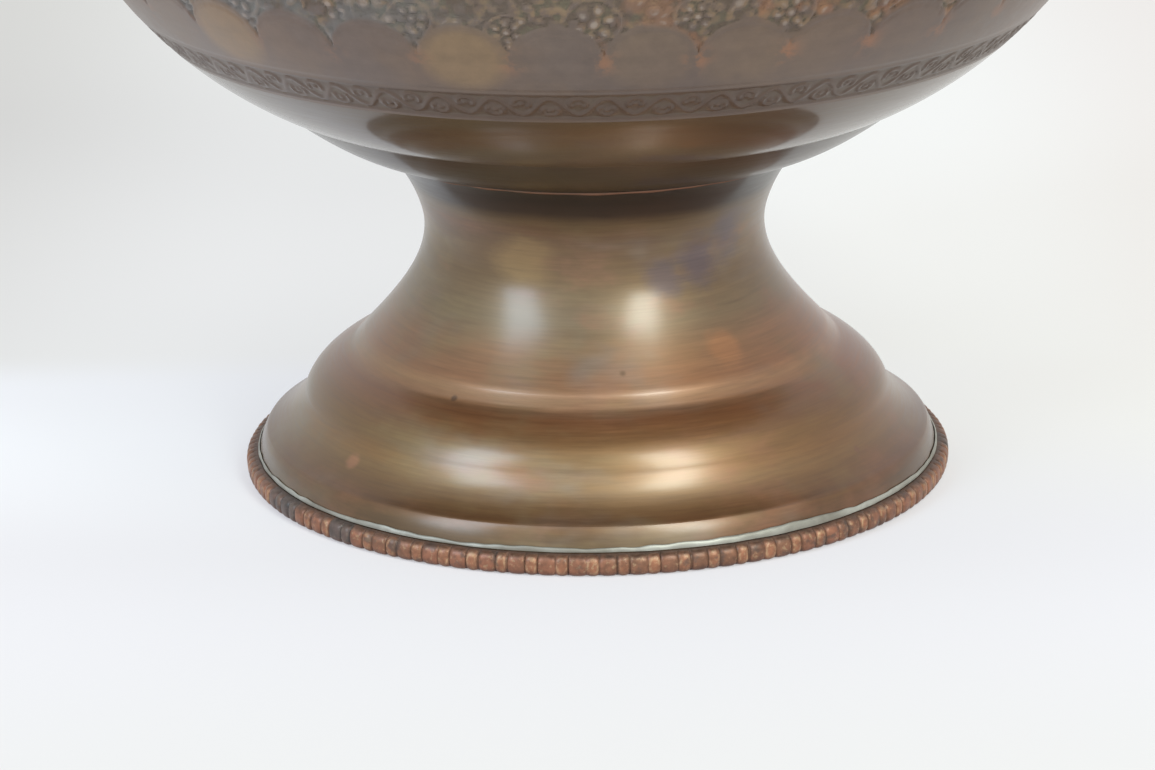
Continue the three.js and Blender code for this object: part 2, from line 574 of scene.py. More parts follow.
@dataclass(frozen=True)
class SpunBrass:
    """Aged brass with the rings of spinning, soft patches of patina and a clear bloom."""

    name: str
    body: Colour
    olive: Colour
    blush: Colour
    haze: Colour
    # Colour by height; on the foot it holds painted shade and a painted highlight band.
    tones: tuple[tuple[float, Colour], ...] = ()
    stains: tuple[Stain, ...] = ()
    # Tints that darken the left and right sides: painted shade, olive on the left and redder on the
    # right.
    lean: tuple[Colour, Colour] = ((0.68, 0.62, 0.42, 1.0), (0.72, 0.59, 0.41, 1.0))
    patch: float = 38.0
    reach: float = 50.0
    calm_from: float = 400.0
    ring_contrast: float = 0.35
    roughness: tuple[float, float] = (0.4, 0.52)
    metallic: float = 0.68
    coat: float = 0.85
    coat_ior: float = 1.53
    coat_roughness: float = 0.24
    grain: float = 0.04

    def build(self) -> bpy.types.Material:
        """Make the material and return it."""
        material, shader = new_material(self.name)
        place = shader.place()
        rings = shader.turning(place, 2.4)
        wide_rings = shader.turning(place, 14.0)
        streaks = shader.turning(place, 0.6, 10.0)
        patchy = shader.stretched(place, Vector((1, 1, 2.2)))
        broad = shader.noise(patchy, self.patch, 4.0)
        cloud = shader.noise(patchy, self.patch * 0.7, 5.0, 3.7)
        mist = shader.noise(patchy, self.patch * 0.9, 3.0, 8.1)
        colour = self._ground_and_painted_light(shader, place, broad)
        _, _, height = shader.parts(place)
        # Patina patches fade out above calm_from, so that the painted shade at the top of the stem stays
        # even.
        fading = 0.6 * (1 - height.step(self.calm_from, self.calm_from + 9))
        colour = shader.mix(broad.step(0.46, 0.66) * fading, colour, self.olive)
        colour = shader.mix(cloud.step(0.5, 0.72) * fading, colour, self.blush)
        colour = shader.mix(mist.step(0.5, 0.74) * fading, colour, self.haze)
        # Painted shade: the left and right sides are darkened.
        colour = shader.tint_and_shade_sides(place, colour, self.reach, self.lean, broad)
        for stain in self.stains:
            colour = self._stained(shader, place, cloud, colour, stain)
        light = 1 + (rings + wide_rings - 1) * self.ring_contrast + (streaks - 0.5) * 0.6
        low, high = self.roughness
        rough = low + (high - low) * (rings * 0.6 + cloud * 0.6) + (streaks - 0.5) * 0.2
        relief = rings * 0.5 + streaks * 0.5
        bump = shader.wire(
            "ShaderNodeBump", {},
            {"Strength": 0.6, "Distance": self.grain * METRES, "Height": relief}, "Normal",
        )
        surface = shader.node(
            "ShaderNodeBsdfPrincipled", {},
            {
                "Base Color": shader.shade(colour, light),
                "Metallic": self.metallic,
                "Roughness": rough,
                "Normal": bump,
                "Coat Weight": self.coat,
                "Coat Roughness": self.coat_roughness,
                "Coat IOR": self.coat_ior,
            },
        )
        shader.node("ShaderNodeOutputMaterial", {}, {0: Wire(shader, surface.outputs[0])})
        return material

    def _ground_and_painted_light(self, shader: Shader, place: Wire, wobble: Wire) -> Any:
        """Return the colour under the patina, which may change with height; such a height ramp can hold
        painted shade and painted highlights.
        """
        if not self.tones:
            return self.body
        _, _, height = shader.parts(place)
        top = self.tones[-1][0]
        stops = [(level / top, colour) for level, colour in self.tones]
        return shader.wire(
            "ShaderNodeValToRGB", {"stops": stops}, {0: (height + (wobble - 0.5) * 3.0) / top}
        )

    def _stained(
        self, shader: Shader, place: Wire, ragged: Wire, colour: Any, stain: Stain
    ) -> Wire:
        """Lay one stain over a colour and return the result."""
        away = shader.wire(
            "ShaderNodeVectorMath", {"operation": "DISTANCE"},
            {0: place, 1: Vector(stain.place)}, "Value",
        )
        edge = away + (ragged - 0.5) * stain.width * 1.6
        inside = 1 - edge.step(stain.width * 0.15, stain.width * 0.6)
        return shader.mix(inside * stain.strength, colour, stain.colour)


@dataclass(frozen=True)
class ChasedBrass:
    """Grey patina over chased brass, dark in the recesses and pale on what stands proud, partly rubbed
    wear and partly painted glints; painted shade darkens its sides.
    """

    name: str
    field: Colour = tone(112, 94, 80)
    lilac: Colour = tone(106, 91, 82)
    straw: Colour = tone(136, 112, 82)
    strap: Colour = tone(88, 68, 53)
    recess: Colour = tone(98, 83, 70)
    green: Colour = tone(98, 89, 72)
    rubbed_and_glint: Colour = tone(158, 145, 134)
    copper: Colour = tone(150, 106, 76)
    slate: Colour = tone(112, 114, 112)
    # Tints that darken the sides, the right more: painted shade with a colour cast.
    lean: tuple[Colour, Colour] = ((0.95, 0.88, 0.88, 1.0), (0.8, 0.7, 0.64, 1.0))
    reach: float = 100.0
    roughness: tuple[float, float] = (0.38, 0.56)
    metallic: float = 0.7
    coat: float = 0.5
    coat_roughness: float = 0.25

    def build(self) -> bpy.types.Material:
        """Make the material and return it."""
        material, shader = new_material(self.name)
        place = shader.place()
        raised = shader.mark("raised")
        leafy = shader.mark("leafy")
        worn = shader.mark("worn")
        yellowed = shader.mark("yellowed")
        banded = shader.mark("banded")
        rings = shader.turning(place, 2.4)
        broad = shader.noise(place, 30.0, 4.0)
        fine = shader.noise(place, 3.2, 4.0, 2.3)
        cells = shader.wire(
            "ShaderNodeTexVoronoi", {"feature": "F1"}, {"Vector": place, "Scale": 1 / 0.9}
        )
        colour = shader.mix(broad.step(0.4, 0.62), self.field, self.lilac)
        colour = shader.mix(yellowed * 0.85, colour, self.straw)
        colour = shader.mix(banded * 0.85, colour, self.strap)
        colour = shader.mix((fine * leafy).step(0.42, 0.6) * 0.6, colour, self.straw)
        low = shader.mix(fine.step(0.45, 0.6), self.recess, self.green)
        colour = shader.mix(1 - raised.step(0.1, 0.75), colour, low)
        across, _, _ = shader.parts(place)
        spots = shader.noise(place, 5.0, 3.0, 6.6)
        patches = shader.noise(place, 9.0, 3.0, 7.7)
        cold = leafy * (1 - across.step(-60, -5)) * patches.step(0.4, 0.56)
        warm = leafy * across.step(-30, 30) * patches.step(0.5, 0.62)
        colour = shader.mix(cold * 0.6, colour, self.slate)
        colour = shader.mix(warm * 0.55, colour, self.copper)
        # Pale tops on the raised bosses: partly rubbed wear, partly painted glints.
        proud = (raised * leafy).step(0.7, 0.98) * spots.step(0.42, 0.58)
        colour = shader.mix(proud * 0.75, colour, self.rubbed_and_glint)
        colour = shader.mix(worn * fine.step(0.42, 0.56), colour, self.copper)
        # Painted shade: the left and right sides are darkened.
        colour = shader.tint_and_shade_sides(place, colour, self.reach, self.lean, broad)
        light = 1 + (rings - 0.5) * 0.2 + (fine - 0.5) * 0.5
        least, most = self.roughness
        rough = least + (most - least) * (1 - raised * 0.7) + (fine - 0.5) * 0.2
        punch = cells * (1 - raised.step(0.1, 0.5)) * 4.0 + fine + rings * 0.3
        bump = shader.wire(
            "ShaderNodeBump", {},
            {"Strength": 0.5, "Distance": 0.08 * METRES, "Height": punch}, "Normal",
        )
        surface = shader.node(
            "ShaderNodeBsdfPrincipled", {},
            {
                "Base Color": shader.shade(colour, light),
                "Metallic": self.metallic,
                "Roughness": rough,
                "Normal": bump,
                "Coat Weight": self.coat,
                "Coat Roughness": self.coat_roughness,
            },
        )
        shader.node("ShaderNodeOutputMaterial", {}, {0: Wire(shader, surface.outputs[0])})
        return material


@dataclass(frozen=True)
class BeadedCopper:
    """Copper-red tarnish on the beaded strip, pale on the balls and dark in the grooves, with painted
    shade along its underside and its top edge.
    """

    name: str
    barrel: Colour = tone(144, 95, 71)
    ball: Colour = tone(152, 102, 74)
    ring: Colour = tone(176, 146, 112)
    brown: Colour = tone(118, 84, 62)
    groove: Colour = tone(104, 74, 56)
    stain: Colour = tone(86, 70, 62)
    slate: Colour = tone(72, 74, 74)
    under: Colour = tone(96, 60, 46)

    def build(self) -> bpy.types.Material:
        """Make the material and return it."""
        material, shader = new_material(self.name)
        place = shader.place()
        crest = shader.mark("crest")
        ball = shader.mark("ball")
        grimy = shader.mark("grimy")
        ringed = shader.mark("ringed")
        _, _, height = shader.parts(place)
        fine = shader.noise(place, 1.6, 4.0)
        broad = shader.noise(place, 14.0, 4.0, 5.2)
        colour = shader.mix(broad.step(0.4, 0.6) * 0.7, self.barrel, self.brown)
        flecks = shader.noise(place, 0.9, 3.0, 6.1)
        colour = shader.mix(ball.step(0.1, 0.5), colour, self.ball)
        colour = shader.mix(flecks.step(0.56, 0.66) * 0.5, colour, self.ring)
        colour = shader.mix(ringed * fine.step(0.4, 0.56) * 0.85, colour, self.ring)
        colour = shader.mix((1 - crest.step(0.1, 0.7)) * 0.75, colour, self.groove)
        blots = shader.noise(place, 4.0, 4.0, 9.4)
        colour = shader.mix(blots.step(0.52, 0.66) * 0.75, colour, self.stain)
        colour = shader.mix(grimy * 0.9, colour, self.slate)
        # Darker along the strip's underside: painted shade.
        colour = shader.mix((1 - height.step(0.3, 1.7)) * 0.7, colour, self.under)
        # Darker along the strip's top edge, in the gap under the solder: painted shade.
        colour = shader.mix(height.step(3.5, 4.5) * 0.5, colour, self.stain)
        light = 1 + (fine - 0.5) * 1.7
        rough = 0.52 + (fine - 0.5) * 0.3 + (1 - crest) * 0.2
        bump = shader.wire(
            "ShaderNodeBump", {},
            {"Strength": 0.6, "Distance": 0.1 * METRES, "Height": fine}, "Normal",
        )
        surface = shader.node(
            "ShaderNodeBsdfPrincipled", {},
            {
                "Base Color": shader.shade(colour, light),
                "Metallic": 0.6,
                "Roughness": rough,
                "Normal": bump,
                "Coat Weight": 0.35,
                "Coat Roughness": 0.35,
            },
        )
        shader.node("ShaderNodeOutputMaterial", {}, {0: Wire(shader, surface.outputs[0])})
        return material


@dataclass(frozen=True)
class GreySolder:
    """Dull grey soft solder with small pits."""

    name: str
    bright: Colour = tone(174, 172, 162)
    dull: Colour = tone(136, 131, 120)

    def build(self) -> bpy.types.Material:
        """Make the material and return it."""
        material, shader = new_material(self.name)
        place = shader.place()
        fine = shader.noise(place, 1.8, 4.0)
        broad = shader.noise(place, 16.0, 3.0, 4.4)
        colour = shader.mix(broad.step(0.35, 0.65), self.dull, self.bright)
        bump = shader.wire(
            "ShaderNodeBump", {},
            {"Strength": 0.7, "Distance": 0.12 * METRES, "Height": fine}, "Normal",
        )
        surface = shader.node(
            "ShaderNodeBsdfPrincipled", {},
            {
                "Base Color": shader.shade(colour, 1 + (fine - 0.5) * 0.5),
                "Metallic": 0.55,
                "Roughness": 0.5 + (fine - 0.5) * 0.3,
                "Normal": bump,
            },
        )
        shader.node("ShaderNodeOutputMaterial", {}, {0: Wire(shader, surface.outputs[0])})
        return material


# Colour by height up the foot and stem, tuned so that each height renders as it should look: the brass's
# own tone with painted light and shade worked in. The dark stops from 69 mm up are painted shade under
# the cup, and the lighter stops at 28.6 and 30.5 mm are a painted highlight band along the lip above the
# roll.
FOOT_TONES_AND_PAINTED_LIGHT = (
    (0.0, tone(98, 74, 44)),
    (7.6, tone(104, 78, 46)),
    (9.2, tone(114, 80, 44)),
    (10.0, tone(113, 78, 50)),
    (11.6, tone(122, 90, 58)),
    (15.0, tone(137, 108, 74)),
    (17.5, tone(140, 106, 67)),
    (21.5, tone(132, 100, 60)),
    (24.0, tone(129, 92, 56)),
    (27.4, tone(143, 95, 63)),
    (28.6, tone(160, 117, 87)),
    (30.5, tone(166, 128, 97)),
    (33.0, tone(152, 108, 77)),
    (38.0, tone(146, 109, 78)),
    (44.0, tone(129, 109, 82)),
    (56.0, tone(114, 88, 56)),
    (63.5, tone(114, 84, 52)),
    (66.0, tone(114, 92, 62)),
    (69.0, tone(62, 47, 35)),
    (72.0, tone(46, 34, 25)),
    (76.3, tone(44, 32, 24)),
)

FOOT_STAINS = (
    Stain((5.7, -48.8, 35.5), 2.0, tone(96, 72, 52), 0.7),
    Stain((28.1, -37.7, 38.1), 8.0, tone(172, 114, 70), 0.5),
    Stain((57.1, -39.3, 14.2), 2.4, tone(112, 74, 50), 0.7),
    Stain((-31.0, -45.2, 29.2), 1.6, tone(70, 52, 40), 0.7),
    Stain((-53.7, -43.7, 14.4), 4.0, tone(166, 112, 80), 0.5),
    Stain((15.1, -35.7, 51.6), 11.0, tone(96, 80, 80), 0.75),
    Stain((22.6, -30.8, 55.0), 13.0, tone(90, 74, 78), 0.8),
    Stain((30.0, -25.7, 59.5), 14.0, tone(92, 78, 82), 0.8),
    Stain((-14.7, -35.3, 57.5), 16.0, tone(152, 122, 76), 0.5),
)


# Sub-assemblies


class Assembly:
    """Pieces of the vase that belong together."""

    @staticmethod
    def dress(
        piece: bpy.types.Object, material: bpy.types.Material, slot: Slot, *nodes: str
    ) -> None:
        """Give a finished piece its material, body, slot and the solids it stands for.

        Args:
            piece: The piece.
            material: Its finish.
            slot: The slot that the finish belongs to; not used.
            nodes: Names of the solids that the piece replaces.
        """
        piece.data.materials.append(material)
        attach(piece, BODY)
        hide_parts(*nodes)
        log.info("%s: %d faces, for %s", piece.name, len(piece.data.polygons), ", ".join(nodes))


@dataclass
class Foot(Assembly):
    """Foot and stem in one sheet, with the beaded strip and the solder that holds it."""

    radius: float = 80.0
    strip_height: float = 4.4
    strip_depth: float = 2.7
    strip_backing: float = 0.8
    bead_height: float = 4.6
    bead_pitch: float = 6.6
    stations: int = 24
    seam_leg: float = 1.1
    rim_width: float = 2.0
    rim_rise: float = 5.05
    hollow_width: float = 8.8
    hollow_rise: float = 8.65
    roll_width: float = 11.7
    roll_rise: float = 10.6
    fold_width: float = 1.21
    fold_rise: float = 0.55
    fillet_width: float = 1.42
    fillet_rise: float = 1.12
    lip_width: float = 1.85
    lip_rise: float = 2.11
    waist_radius: float = 38.2
    waist_rise: float = 27.9
    flare_width: float = 10.1
    flare_rise: float = 19.1

    @property
    def strip_back(self) -> float:
        """Radius of the strip's back."""
        return self.radius - self.strip_depth

    @property
    def edge_radius(self) -> float:
        """Radius of the upright edge inside the strip."""
        return self.strip_back - CLEARANCE

    @property
    def edge_top(self) -> float:
        """Height of the upright edge."""
        return self.strip_height + CLEARANCE

    @property
    def crease_radius(self) -> float:
        """Radius of the crease under the stem."""
        return self.edge_radius - self.rim_width - self.hollow_width - self.roll_width

    @property
    def stem_top_radius(self) -> float:
        """Radius of the stem's upper edge."""
        return self.waist_radius + self.flare_width

    @property
    def top(self) -> float:
        """Height of the stem's upper edge."""
        steps = self.rim_rise + self.hollow_rise + self.roll_rise
        return self.edge_top + steps + self.waist_rise + self.flare_rise

    def build(self) -> None:
        """Build and dress the strip, the sheet and the seam."""
        self._shell()
        self._strip()
        self._seam()

    def _shell(self) -> None:
        """Spin the foot and stem."""
        profile = Profile(self.edge_radius, 0).line(self.edge_radius, self.edge_top)
        profile.bend(-self.rim_width, self.rim_rise, Bend(0.52, 0.78, 0.67), 24)
        profile.bend(-self.hollow_width, self.hollow_rise, Bend(0.72, 0.4, 0.67))
        width, rise = self.fold_width - self.roll_width, self.roll_rise - self.fold_rise
        profile.bend(width, rise, Bend(0.18, 0.56, 0.67), 28)
        profile.bend(-self.fillet_width, self.fillet_rise, Bend(0.534, 0.346, 0.67), 10)
        profile.bend(-self.lip_width, self.lip_rise, Bend(0.8, 0.72, 0.67), 12)
        top = Vector((self.waist_radius, self.top - self.flare_rise))
        width, rise = top - profile.points[-1]
        profile.bend(width, rise, Bend(1, 0.591, 0.718), 36)
        profile.bend(self.flare_width, self.flare_rise, Bend(0, 0.69, 0.47), 24)
        piece = new_piece("foot_and_stem", turned(profile.wall(level_end=True)))
        # The height tones carry painted shade under the cup and a painted highlight band on the lip.
        finish = SpunBrass(
            "spun_brown_brass", tone(148, 122, 94), tone(136, 118, 84), tone(152, 106, 82),
            tone(134, 122, 114), tones=FOOT_TONES_AND_PAINTED_LIGHT, stains=FOOT_STAINS,
            calm_from=60.0,
        )
        self.dress(piece, finish.build(), Slot.BROWN_BRASS, "foot_shell")

    def _strip(self) -> None:
        """Roll the strip's section round the foot and swell it into barrels and balls."""
        repeats = round(2 * math.pi * self.radius / self.bead_pitch)
        front, middle = self.strip_back + self.strip_backing, self.bead_height / 2
        crown = self.strip_depth - self.strip_backing
        section = Profile(self.strip_back, self.bead_height).line(self.strip_back, 0)
        section.line(front, 0)
        section.arc(Vector((front, middle)), 1.0, -math.pi / 2, math.pi, 10)
        section.line(front, self.bead_height)
        for point in section.points[3:-1]:
            out, up = point - Vector((front, middle))
            full = math.copysign(abs(up) ** 0.8, up)
            point.xy = (front + crown * abs(out) ** 0.7, middle + middle * full)
        outline = section.points[:3] + section.points[4:-2] + section.points[-1:]
        bm = turned(outline, repeats * self.stations)
        skin = Skin(bm)
        along = skin.azimuth / (2 * math.pi) * repeats
        bead, share = np.floor(along).astype(int) % repeats, along % 1.0
        rng = np.random.default_rng(11)
        size = rng.normal(1.0, 0.07, (2, repeats))
        barrel = np.clip(1 - np.abs((share - 0.3) / (0.265 * size[0][bead])) ** 3.2, 0, 1) ** 0.4
        past = (share - 0.79) / (0.2 * size[1][bead])
        ball = np.clip(1 - past ** 2, 0, 1) ** 0.5
        crest = np.maximum(barrel * 0.96, ball)
        swell = 0.76 + 0.24 * crest * np.minimum(size[0][bead], 1.0)
        proud = skin.radius > front + 0.05
        ringed = np.exp(-((np.hypot(past, (skin.height - middle) / middle) - 0.78) / 0.12) ** 2)
        radius = np.where(proud, front + (skin.radius - front) * swell, skin.radius)
        height = np.where(proud, middle + (skin.height - middle) * swell, skin.height)
        skin.move(radius, height)
        grimy = (rng.random(repeats) < 0.09) * rng.uniform(0.4, 0.9, repeats)
        skin.mark("crest", np.where(proud, crest, 0.1))
        skin.mark("ball", np.where(proud, (ball > barrel) * ball, 0.0))
        skin.mark("grimy", grimy[bead])
        skin.mark("ringed", np.where(proud & (ball > barrel), ringed, 0.0))
        piece = new_piece("beaded_strip", bm)
        self.dress(piece, BeadedCopper("beaded_copper").build(), Slot.COPPERY_STRIP, "foot_bead_strip")

    def _seam(self) -> None:
        """Run solder of uneven width into the corner above the strip."""
        corner = Vector((self.edge_radius - 0.05, self.bead_height + 0.22))
        section = Profile(*corner)
        section.arc(corner, self.seam_leg, 0, math.pi / 2, 7)
        bm = turned(section.points, 896)
        skin = Skin(bm)
        run = np.exp(-((skin.azimuth - math.radians(34)) / 0.35) ** 2)
        thick = np.clip(0.38 + 0.3 * run + wave(3, skin.azimuth, 60, 0.07), 0.25, 0.9)
        tall = 0.74 + 0.7 * run + wave(4, skin.azimuth, 17, 0.12) + wave(5, skin.azimuth, 90, 0.1)
        tall = np.clip(tall, 0.35, 1.7)
        skin.move(
            corner.x + (skin.radius - corner.x) * thick,
            corner.y + (skin.height - corner.y) * tall,
        )
        piece = new_piece("solder_seam", bm)
        self.dress(piece, GreySolder("grey_solder").build(), Slot.SOLDER, "foot_solder_seam")


@dataclass
class Cup(Assembly):
    """Shallow cup between stem and bowl, with the solder bead under its floor."""

    foot: Foot
    radius: float = 70.9
    rise: float = 11.2
    bead_radius: float = 0.45

    @property
    def floor(self) -> float:
        """Height of the cup's underside."""
        return self.foot.top + CLEARANCE

    @property
    def rim(self) -> float:
        """Height of the cup's rim."""
        return self.floor + self.rise

    def build(self) -> None:
        """Build and dress the cup and its solder bead."""
        profile = Profile(0.0, self.floor).line(self.foot.stem_top_radius, self.floor)
        width = self.radius - self.foot.stem_top_radius
        profile.bend(width, self.rise, Bend(0.37, 0.02, 0.72))
        # Colours darkened to stand for the shade under the bowl: painted shade.
        finish = SpunBrass(
            "spun_cup_brass_painted_shade", tone(64, 49, 33), tone(76, 61, 31), tone(78, 51, 31),
            tone(66, 56, 48), roughness=(0.34, 0.44), coat=0.55, coat_roughness=0.12,
        )
        cup = new_piece("cup", turned(profile.wall(level_end=True)))
        self.dress(cup, finish.build(), Slot.DARK_BRASS, "base_cup")
        self._bead()

    def _bead(self) -> None:
        """Lay the bead of solder round the stem's upper edge."""
        centre = Vector((self.foot.stem_top_radius + self.bead_radius, self.foot.top - CLEARANCE / 2))
        section = Profile(centre.x + self.bead_radius, centre.y)
        section.arc(centre, self.bead_radius, 0, 2 * math.pi, 12)
        bm = turned(section.points[1:-1], 480)
        skin = Skin(bm)
        swell = 1 + wave(8, skin.azimuth, 50, 0.16)
        skin.move(
            centre.x + (skin.radius - centre.x) * swell,
            centre.y + (skin.height - centre.y) * swell,
        )
        # The copper is darkened for the shade under the cup: partly painted shade.
        finish = SpunBrass(
            "copper_bead", tone(126, 88, 66), tone(108, 84, 62), tone(140, 92, 70),
            tone(104, 88, 78), patch=9.0, roughness=(0.45, 0.6), coat=0.4,
        )
        piece = new_piece("stem_bead", bm)
        self.dress(piece, finish.build(), Slot.COPPERY_STRIP, "stem_solder_ring")


class Chasing:
    """Pattern chased into a band of the body, worked out as a depth below the surface.

    Runs are measured along the sheet from the line of cusps, positive into the leaves.
    """

    LOBES = 36
    FIRST_CUSP = math.radians(1.2)
    BORDER = (-19.0, -9.6)
    DEPTH = 0.5
    CELL = 19.2
    GRAINS = 205
    GRAIN_ROWS = 40
    GRAIN_PITCH = 3.0
    YELLOW_LOBES = (-5, -2)

    def __init__(self, band: Profile, cusps: float, way: int, rows: tuple[float, ...]) -> None:
        """Measure a band.

        Args:
            band: Outer line of the whole band.
            cusps: Distance along it at which the cusps lie.
            way: 1 when the leaves lie above the cusps, -1 when they lie below.
            rows: Runs of the rows of rosettes.
        """
        radii, heights, lengths = band.table()
        self.heights, self.height_runs = heights, (lengths - cusps) * way
        order = np.argsort(self.height_runs)
        self.runs, self.radii = self.height_runs[order], radii[order]
        self.rows = rows

    def run_at(self, height: Any) -> Any:
        """Return the run at a height."""
        return np.interp(height, self.heights, self.height_runs)

    def radius_at(self, run: Any) -> Any:
        """Return the radius of the surface at a run."""
        return np.interp(run, self.runs, self.radii)

    @staticmethod
    def dome(x: np.ndarray, y: np.ndarray, long: Any, wide: Any) -> np.ndarray:
        """Return a rounded boss, 1 at its middle and 0 outside."""
        return np.sqrt(np.clip(1 - (x / long) ** 2 - (y / wide) ** 2, 0, 1))

    @staticmethod
    def cord(distance: np.ndarray, half_width: float) -> np.ndarray:
        """Return a rounded ridge along a line at a distance."""
        return np.sqrt(np.clip(1 - (distance / half_width) ** 2, 0, 1))

    def lobe(self, azimuth: np.ndarray) -> tuple[np.ndarray, np.ndarray]:
        """Find the lobe at each azimuth.

        Args:
            azimuth: Azimuths in radians.

        Returns:
            The lobe's number, and how far from its middle, from -0.5 to 0.5.
        """
        along = (azimuth - self.FIRST_CUSP) * self.LOBES / (2 * math.pi)
        number = np.floor(along)
        return number.astype(int), along - number - 0.5

    def scallop(self, azimuth: np.ndarray) -> np.ndarray:
        """Return the run of the lobes' edge at each azimuth."""
        _, across = self.lobe(azimuth)
        half_pitch = math.pi * self.radius_at(0.0) / self.LOBES
        return half_pitch * np.sqrt(np.clip(1 - (2 * across) ** 2, 0, 1))

    def rosette(self, x: np.ndarray, y: np.ndarray, spin: np.ndarray, hand: int) -> np.ndarray:
        """Raise one rosette inside its scroll and leaves.

        Args:
            x: Distance from the rosette's middle, round the vase.
            y: Distance from it, up the vase.
            spin: How far the rosette is turned about its middle.
            hand: 1 or -1, the way the scroll runs.

        Returns:
            Height of the relief, 0 to 1.
        """
        away, turn = np.hypot(x, y), np.arctan2(y, x) * hand + spin
        rise = self.dome(away, 0 * away, 1.35, 1.0)
        sixth = (turn + math.pi / 6) % (math.pi / 3) - math.pi / 6
        petal = self.dome(away * np.cos(sixth) - 3.0, away * np.sin(sixth), 1.5, 1.2)
        winding = turn / (2 * math.pi) % 1.0
        scroll = self.cord(away - 5.0 - 1.6 * winding, 0.6) * (winding < 0.6)
        ninth = (turn + math.pi / 9) % (2 * math.pi / 9) - math.pi / 9
        leaf_x, leaf_y = away * np.cos(ninth) - 8.3, away * np.sin(ninth)
        tilt = math.radians(38)
        leaf = self.dome(
            leaf_x * math.cos(tilt) + leaf_y * math.sin(tilt),
            leaf_y * math.cos(tilt) - leaf_x * math.sin(tilt), 2.3, 1.1,
        )
        return np.maximum.reduce([rise, petal * 0.95, scroll * 0.8, leaf * 0.85])

    def leaves(self, azimuth: np.ndarray, run: np.ndarray) -> np.ndarray:
        """Return the relief of the field of rosettes, 0 to 1."""
        pitch = 2 * math.pi / self.LOBES
        rise = self.grains(azimuth, run)
        rng = np.random.default_rng(9)
        for i, row in enumerate(self.rows):
            radius = self.radius_at(row)
            phase = self.FIRST_CUSP + pitch * 0.5 * (i % 2)
            cell = np.floor((azimuth - phase) / pitch + 0.5).astype(int)
            along = azimuth - phase - cell * pitch
            sizes = rng.uniform(0.72, 1.08, self.LOBES) * radius * pitch / self.CELL
            spins = rng.uniform(0, 2 * math.pi, self.LOBES)
            shifts = rng.normal(0, 1.2, (2, self.LOBES))
            for neighbour in (-1, 0, 1):
                number = (cell + neighbour) % self.LOBES
                x = ((along - neighbour * pitch) * radius - shifts[0][number]) / sizes[number]
                y = (run - row - shifts[1][number]) / sizes[number]
                bloom = self.rosette(x, y, spins[number], 1 - 2 * (i % 2))
                clear = np.hypot(x, y) < 3.3
                rise = np.where(clear, bloom, np.maximum(rise, bloom))
        return rise

    def grains(self, azimuth: np.ndarray, run: np.ndarray) -> np.ndarray:
        """Return the relief of the grains that fill the ground, 0 to 1."""
        rng = np.random.default_rng(17)
        cells = (self.GRAINS, self.GRAIN_ROWS)
        sizes, shifts = rng.uniform(0.3, 0.6, cells), rng.uniform(-0.16, 0.16, (2, *cells))
        tall = rng.uniform(0.45, 1.0, cells)
        up = run / self.GRAIN_PITCH
        row = np.floor(up).astype(int) % self.GRAIN_ROWS
        along = azimuth / (2 * math.pi) * self.GRAINS + 0.5 * (row % 2)
        column = np.floor(along).astype(int) % self.GRAINS
        x = along % 1.0 - 0.5 - shifts[0][column, row]
        y = up % 1.0 - 0.5 - shifts[1][column, row]
        wide = sizes[column, row]
        return self.dome(x, y, wide, wide) * tall[column, row]

    def border(self, azimuth: np.ndarray, run: np.ndarray) -> np.ndarray:
        """Return the relief of the running scroll in the border, 0 to 1."""
        low, high = self.BORDER
        middle, reach = (low + high) / 2, (high - low) / 2
        waves = self.LOBES * 1.5
        radius = self.radius_at(middle)
        along = (azimuth * waves / (2 * math.pi)) % 1.0
        up = run - middle
        length = 2 * math.pi * radius / waves
        stem = up - 0.62 * reach * np.sin(2 * math.pi * along)
        lean = 1 + (0.62 * reach * 2 * math.pi / length * np.cos(2 * math.pi * along)) ** 2
        rise = self.cord(stem / np.sqrt(lean), 0.62) * 0.9
        for place, side in ((0.25, -1), (0.75, 1)):
            x = (along - place) * length
            y = up - side * 1.3
            ring = np.hypot(x, y)
            rise = np.maximum(rise, self.cord(ring - 1.7, 0.5) * (y * side > -1.2))
            rise = np.maximum(rise, self.dome(x, y, 0.75, 0.75))
        edge = np.abs(np.abs(up) - reach)
        inside = np.abs(up) < reach
        return np.where(inside, np.maximum(rise, self.cord(edge - 0.1, 0.5)), 1.0)

